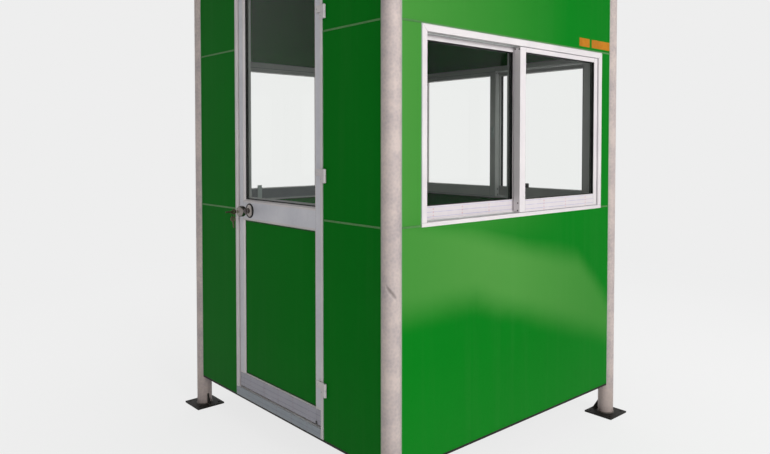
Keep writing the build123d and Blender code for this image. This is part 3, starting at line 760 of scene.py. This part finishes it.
frameSeams, leafSeams, frameBead, stopSeals = (bmesh.new() for _ in range(4))
sealFit = {"width": 0.0024, "proud": 0.0022}
sealX, sealZ = fit["frameHalf"] + sealFit["width"] / 2, fit["frameHigh"] + sealFit["width"] / 2
sealEnd = fit["frameHalf"] + sealFit["width"]
sealRuns = [((side * sealX, fit["foot"]), (side * sealX, fit["frameHigh"])) for side in bothSides]
stopSealFit = {"half": 0.3275, "foot": 0.2265, "tall": 1.956, "top": 2.1855, "topHalf": 0.325, "deep": -0.0447,
               "radius": 0.0022}
for side in bothSides:
    jamb = side * fit["jambInner"]
    for width, start, end in ((0.0007, (side * fit["frameHalf"], fit["frameHigh"]), (jamb, fit["frameHigh"] - 0.016)),
                              (0.0008, (jamb, fit["foot"] + 0.001), (jamb, fit["threshold"]))):
        addStrip(frameSeams, front, start, end, width, frameFace, frameFace + seamProud)
    seamX = side * (fit["lightHalf"] + fit["seamOut"])
    for low, high in ((fit["leafLow"] + 0.001, fit["panel"][0] - 0.011),
                      (fit["lockRail"][0] - fit["seamPast"], fit["lockRail"][1] + fit["seamPast"]),
                      (fit["topRail"][0] - fit["seamPast"], fit["leafHigh"] - 0.001)):
        addStrip(leafSeams, front, (seamX, low), (seamX, high), 0.0006, face, face + 0.0004)
    stopFoot = front @ moved(side * stopSealFit["half"], stopSealFit["foot"], stopSealFit["deep"])
    addRod(stopSeals, stopFoot @ turned(-90, "X"), stopSealFit["radius"], stopSealFit["tall"], 10)
stopHead = front @ moved(-stopSealFit["topHalf"], stopSealFit["top"], stopSealFit["deep"])
addRod(stopSeals, stopHead @ turned(90, "Y"), stopSealFit["radius"], 2 * stopSealFit["topHalf"], 10)
for start, end in (*sealRuns, ((-sealEnd, sealZ), (sealEnd, sealZ))):
    addStrip(frameBead, front, start, end, sealFit["width"], 0.0, sealFit["proud"])
finishPiece("door_frame_seams", frameSeams, pile)
finishPiece("door_leaf_seams", leafSeams, pile, "door")
finishPiece("door_frame_sealant", frameBead, sealant)
finishPiece("door_stop_seals", stopSeals, rubber)

ribFit = {"count": 5, "first": -0.002, "step": 0.0085, "half": 0.335, "halfWide": 0.0014,
          "screws": (-0.29, -0.1, 0.1, 0.29), "screwDeep": -0.0237}
ribs, sillRuns = bmesh.new(), bmesh.new()
for step in range(ribFit["count"]):
    deep = ribFit["first"] - step * ribFit["step"]
    addBar(ribs, front, (-ribFit["half"], fit["threshold"] - 0.0005, deep - ribFit["halfWide"]),
           (ribFit["half"], fit["threshold"] + 0.0012, deep + ribFit["halfWide"]), 0.0005)
for along in ribFit["screws"]:
    addScrew(ribs, front @ moved(along, fit["threshold"], ribFit["screwDeep"]) @ turned(-90, "X"), 0.0035)
finishPiece("threshold_ribs", ribs, trimAluminium)
addBar(sillRuns, front, (0.0015 - fit["frameHalf"], fit["foot"], frameFace),
       (fit["jambInner"] - 0.002, fit["threshold"] - 0.0005, frameFace + filmThick))
addBar(sillRuns, front, (0.0005 - fit["jambInner"], fit["threshold"], face + 0.002),
       (fit["jambInner"] - 0.0005, fit["threshold"] + filmThick, frameFace))
finishPiece("threshold_film", sillRuns, sillFilmWithShade)
print("door dressed")

# knob set
lockFit = {"x": -0.237, "z": 1.075, "knobEnd": 0.059}
lock = front @ moved(lockFit["x"], lockFit["z"])
roseSection = inMillimetres(12.6, 0, 31, 0, 31, 2.2, 29.2, 4, 26.2, 4.3, 23.6, 5.6, 20.5, 8.8, 17.8, 10.8, 16.5, 11.5,
                            14.2, 11.2, 12.6, 9.8)
roseShadeSection = inMillimetres(28.6, 0, 34.7, 0, 34.5, 2.6, 33.3, 4.2, 30, 5, 28.6, 4.8)
plugSection = inMillimetres(0, 1.2, 7, 1.2, 7.8, 0.4, 7.8, -2, 0, -2)
roses, roseShadeRing, plug, turnPiece, keys, latch, strike = (bmesh.new() for _ in range(7))
addLathe(roses, lock @ moved(z=face), roseSection, 56, closed=True)
addLathe(roses, lock @ moved(z=fit["back"]) @ turned(180, "X"), roseSection, 56, closed=True)
# painted shade: a dark rubber ring round the rose stands in for the shade and dark reflection round its rim
addLathe(roseShadeRing, lock @ moved(z=face), roseShadeSection, 48, closed=True)
addLathe(plug, lock @ moved(z=lockFit["knobEnd"]), plugSection)
inner = lock @ moved(z=2 * fit["glassMiddle"] - lockFit["knobEnd"]) @ turned(180, "X")
addBar(turnPiece, inner, (-0.0025, -0.008, -0.001), (0.0025, 0.008, 0.007), 0.0012)
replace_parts(finishPiece("lock_roses", roses, knobSteel, "door", 30), "door_knob_roses")
finishPiece("lock_rose_shade_ring", roseShadeRing, rubber, "door")
finishPiece("lock_plug", plug, keyBrass, "knob")
finishPiece("lock_turn_button", turnPiece, knobSteel, "knob")

keyFit = {"bow": 0.0125, "hole": 0.0035, "thick": 0.0022, "shank": 0.009, "blade": 0.030, "teeth": 5,
          "toothStep": 0.0045, "out": 0.0205, "ringDown": 0.0105, "ringOut": 0.0275, "ringRadius": 0.0135,
          "ringTurn": 12, "wire": 0.0011, "hang": 0.0090}


def addKey(bm, place):
    # bow with a hole round the origin, blade running along +y
    thin, half, bow = keyFit["thick"] / 2, keyFit["shank"] / 2, keyFit["bow"]
    flat = keyFit["thick"] / 2.4
    bowSection = [(keyFit["hole"], -thin), (bow, -thin), (bow, thin), (keyFit["hole"], thin)]
    addLathe(bm, place, bowSection, 28, closed=True)
    addBar(bm, place, (-half, bow - 0.002, -thin), (half, bow + 0.005, thin), 0.0004)
    addBar(bm, place, (-half * 0.7, bow + 0.004, -flat), (half * 0.7, bow + keyFit["blade"], flat), 0.0004)
    for tooth in range(keyFit["teeth"]):
        root = place @ moved(half * 0.7, bow + 0.009 + tooth * keyFit["toothStep"]) @ turned(45, "Z")
        addBar(bm, root, (-0.0013, -0.0013, -flat), (0.0013, 0.0013, flat))


ring = lock @ moved(0.0, -keyFit["ringDown"], lockFit["knobEnd"] + keyFit["ringOut"])
ring = ring @ turned(keyFit["ringTurn"], "Z")
wire = [Vector((keyFit["wire"], 0.0)) @ Matrix.Rotation(math.tau * step / 8, 2) for step in range(8)]
addLathe(keys, ring, [(keyFit["ringRadius"] + point.x, point.y) for point in wire], 40, closed=True)
addKey(keys, lock @ moved(z=lockFit["knobEnd"] + keyFit["out"]) @ turned(90, "Y") @ turned(90, "Z"))
addKey(keys, ring @ moved(y=-keyFit["ringRadius"] - keyFit["hang"]) @ turned(78, "Y") @ turned(180, "Z"))
finishPiece("lock_keys", keys, keyBrass, "knob")

latchFit = {"plateHalf": 0.055, "boltHalf": 0.008, "plateDeep": (-0.035, -0.013), "boltDeep": (-0.0295, -0.0185),
            "screw": 0.042, "strikeHalf": 0.033, "strikeDeep": (-0.036, -0.012)}
leafEdge, jambEdge, lockHeight = -fit["leafHalf"], -fit["jambInner"], lockFit["z"]
for bm, ends, half, deep, edge in (
        (latch, (leafEdge - 0.0013, leafEdge + 0.001), latchFit["plateHalf"], latchFit["plateDeep"], 0.0005),
        (latch, (leafEdge - 0.0048, leafEdge), latchFit["boltHalf"], latchFit["boltDeep"], 0.0016),
        (strike, (jambEdge - 0.001, jambEdge + 0.0012), latchFit["strikeHalf"], latchFit["strikeDeep"], 0.0005)):
    addBar(bm, front, (ends[0], lockHeight - half, deep[0]), (ends[1], lockHeight + half, deep[1]), edge)
for end in bothSides:
    screwPlace = front @ moved(leafEdge - 0.0013, lockHeight + end * latchFit["screw"], fit["glassMiddle"])
    addScrew(latch, screwPlace @ turned(-90, "Y"), 0.0035)
finishPiece("latch_and_faceplate", latch, knobSteel, "door")
finishPiece("strike_plate", strike, knobSteel)

# hinge screws and pin caps; the fixed half is the lower one
hingeFit = {"heights": (0.378, 1.260, 1.927), "pinX": 0.378, "pinOut": 0.008, "half": 0.028,
            "screwUp": 0.014, "fixedScrew": (0.350, 0.0055), "movingScrew": (0.328, 0.0090)}
capSection = inMillimetres(0, 2.2, 3, 1.9, 5.6, 0.6, 5.6, -0.5, 0, -0.5)
for name, body, way, (screwX, screwOut) in (("hinge_screws_fixed", "booth", -1, hingeFit["fixedScrew"]),
                                            ("hinge_screws_moving", "door", 1, hingeFit["movingScrew"])):
    hinges = bmesh.new()
    for height in hingeFit["heights"]:
        addScrew(hinges, front @ moved(screwX, height + way * hingeFit["screwUp"], screwOut), 0.0030)
        pinEnd = front @ moved(hingeFit["pinX"], height + way * hingeFit["half"], hingeFit["pinOut"])
        addLathe(hinges, pinEnd @ turned(-90 * way, "X"), capSection, 20)
    finishPiece(name, hinges, plainZinc, body)
print("lock and hinges dressed")


# feet: weld beads round each tube and along its gusset

footFit = {"post": 0.75, "plateTop": 0.008, "tube": 0.038, "ripples": 62, "ripple": 0.008, "steps": 186,
           "gusset": 0.034, "weldTall": 0.0506, "gussetHalf": 0.0034}
weldSection = inMillimetres(37.5, 0, 42.2, 0, 41.15, 2.1, 39.26, 3.78, 37.5, 4.62)
welds = bmesh.new()
for sideX in bothSides:
    for sideY in bothSides:
        foot = Vector((sideX * footFit["post"], sideY * footFit["post"], footFit["plateTop"]))
        for v in addLathe(welds, moved(*foot), weldSection, footFit["steps"]):
            away = v.co - foot
            if away.z > 0.0005:  # ripples, but not where it meets the plate
                swell = 1 + footFit["ripple"] * math.sin(math.atan2(away.y, away.x) * footFit["ripples"])
                v.co.xy = foot.xy + away.xy * swell
        inward = moved(foot.x - sideX * (footFit["tube"] + 0.001), foot.y, foot.z)
        inward = inward @ turned(180 if sideX > 0 else 0, "Z")
        for edge in bothSides:
            gussetSide = inward @ moved(y=edge * footFit["gussetHalf"])
            addRod(welds, gussetSide @ moved(z=0.0008) @ turned(90, "Y"), 0.0024, footFit["gusset"], 8)
            addRod(welds, gussetSide @ moved(x=0.0012), 0.0022, footFit["weldTall"], 8)
finishPiece("foot_welds", welds, weldSteel)
print("feet dressed")


# roof: fascia of coated board in aluminium edges, seams on the top, trims under the eaves

roofLow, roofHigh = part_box("roof_fascia")
deckLow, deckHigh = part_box("roof_panel")
roofFit = {
    "boardIn": 0.0022, "boardShort": 0.002, "trimIn": 0.0012, "trimBack": 0.006, "trimTall": 0.016,
    "lip": 0.0016, "lipIn": 0.004, "lipStep": 0.0004,   # the trims stop short of the lips that cover them
    "coverIn": 0.0005, "coverShort": 0.0008, "corner": 0.036, "jointHalf": 0.012, "rivets": (0.03, 0.075, 0.12),
    "seamPitch": 0.3575, "seamCount": 3, "seamHalf": 0.013, "seamTall": 0.0024,    # counted on each side
    "fixingPitch": 0.33, "fixingCount": 3,
}
fit = roofFit
half, thick = roofHigh.x, roofHigh.x - deckHigh.x
roofRing = (moved(), 2 * half, 2 * half)
foot, top = roofLow.z, roofHigh.z
board, edging, seamsTop, fixings, roofSeal, eaves, soffitJoints = (bmesh.new() for _ in range(7))


def flatSection(outer, inner, low, high):
    return [(-outer, low), (-outer, high), (-inner, high), (-inner, low)]


addRing(board, *roofRing, flatSection(fit["boardIn"], thick, foot + fit["boardShort"], top - fit["boardShort"]))
for outer, inner, low, high in ((fit["trimIn"], fit["trimBack"], foot + fit["lipStep"], foot + fit["trimTall"]),
                                (fit["trimIn"], fit["trimBack"], top - fit["trimTall"], top - fit["lipStep"]),
                                (fit["lipIn"], thick + 0.006, top - fit["lip"], top),
                                (fit["lipIn"], thick + 0.002, foot, foot + fit["lip"])):
    addRing(edging, *roofRing, flatSection(outer, inner, low, high))
rivetSection = inMillimetres(0, 0.9, 2.2, 0.7, 3.3, 0, 3.3, -0.6, 0, -0.6)
low, high = foot + fit["coverShort"], top - fit["coverShort"]
for quarter in range(4):
    side = turned(90 * quarter, "Z") @ moved(y=-half) @ turned(90, "X")
    addBar(edging, side, (-fit["jointHalf"], low, -0.0035), (fit["jointHalf"], high, -fit["coverIn"]), 0.0004)
    for end in bothSides:
        addBar(edging, side, (end * (half - fit["coverIn"] - 0.0003), low, -0.003),
               (end * (half - fit["corner"]), high, -fit["coverIn"]), 0.0003)
        for up in fit["rivets"]:
            rivet = moved(end * (half - fit["corner"] / 2), foot + up, -fit["coverIn"] - 0.0005)
            addLathe(edging, side @ rivet, rivetSection, 12)

fixingSection = inMillimetres(0, 2.4, 3.4, 2.4, 4, 1.8, 4.4, 0.8, 8.2, 0.6, 8.6, 0, 8.6, -0.6, 0, -0.6)
seamTop = deckHigh.z + fit["seamTall"]
for step in range(-fit["seamCount"], fit["seamCount"] + 1):
    along = step * fit["seamPitch"]
    if abs(step) == fit["seamCount"]:  # the outermost run along the edge of the roof
        along = math.copysign(deckHigh.x - 0.020, step)
    addBar(seamsTop, moved(), (along - fit["seamHalf"], -deckHigh.y + 0.008, deckHigh.z - 0.0005),
           (along + fit["seamHalf"], deckHigh.y - 0.008, seamTop), 0.0009)
    for place in range(-fit["fixingCount"], fit["fixingCount"] + 1):
        addLathe(fixings, moved(along, place * fit["fixingPitch"], seamTop), fixingSection, 12)
addRing(roofSeal, moved(z=deckHigh.z), 2 * deckHigh.x, 2 * deckHigh.y, inMillimetres(0, 0, 0, 3.2, -3.5, 2.4, -7, 0))

eavesFit = {"half": 0.7150, "wing": 0.022, "thin": 0.0014, "sunk": 0.0002, "outerWide": 0.018,
            "joints": (-0.7725, -0.3575, 0.0, 0.3575, 0.7725), "jointHalf": 0.0035, "jointThin": 0.0012,
            "jointFrom": 0.023, "jointTo": 0.019}
under, edgeOut = deckLow.z, deckHigh.x - wallOuter
for half, tall, inner, outer in ((eavesFit["half"], eavesFit["wing"], -eavesFit["sunk"], eavesFit["thin"]),
                                 (eavesFit["half"], eavesFit["thin"], 0.0, eavesFit["wing"]),
                                 (deckHigh.x, eavesFit["thin"], edgeOut - eavesFit["outerWide"], edgeOut)):
    for wall in wallTurns:
        addBar(eaves, onWall(wall), (-half, under - tall, inner), (half, under, outer), 0.0004)
for side in bothSides:
    start, end = side * (wallOuter + eavesFit["jointFrom"]), side * (deckHigh.y - eavesFit["jointTo"])
    for along in eavesFit["joints"]:
        left, right = along - eavesFit["jointHalf"], along + eavesFit["jointHalf"]
        low = under - eavesFit["jointThin"]
        addBar(soffitJoints, moved(), (left, start, low), (right, end, under), 0.0004)
        if abs(along) < 0.5:
            addBar(soffitJoints, moved(), (start, left, low), (end, right, under), 0.0004)
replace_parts(finishPiece("fascia_board", board, finishes["roof_fascia"]), "roof_fascia")
for name, bm, material, slotName in (("fascia_edging", edging, trimAluminium, "joint_strip"),
                                     ("roof_seams", seamsTop, finishes["roof_panel"], "roof_panel"),
                                     ("roof_fixings", fixings, plainZinc, "joint_strip"),
                                     ("roof_edge_sealant", roofSeal, sealant, "roof_panel"),
                                     ("eaves_trims", eaves, trimAluminium, "joint_strip"),
                                     ("soffit_joints", soffitJoints, finishes["joint_strip"], "joint_strip")):
    finishPiece(name, bm, material)
print("roof dressed")


# inside: skirting round the floor

skirtFit = {"end": 0.70, "doorway": 0.359, "tall": 0.050, "thick": 0.009}
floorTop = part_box("floor_board")[1].z
skirting = bmesh.new()
for wall in wallTurns:
    runs = [(-skirtFit["end"], skirtFit["end"])]
    if wall == "front":
        runs = [(side * skirtFit["end"], side * skirtFit["doorway"]) for side in bothSides]
    for start, end in runs:
        addBar(skirting, onWall(wall) @ moved(z=wallInner - wallOuter), (start, floorTop, -skirtFit["thick"]),
               (end, floorTop + skirtFit["tall"], 0.0), 0.002)
finishPiece("skirting", skirting, whiteUpvc)
print("inside dressed")
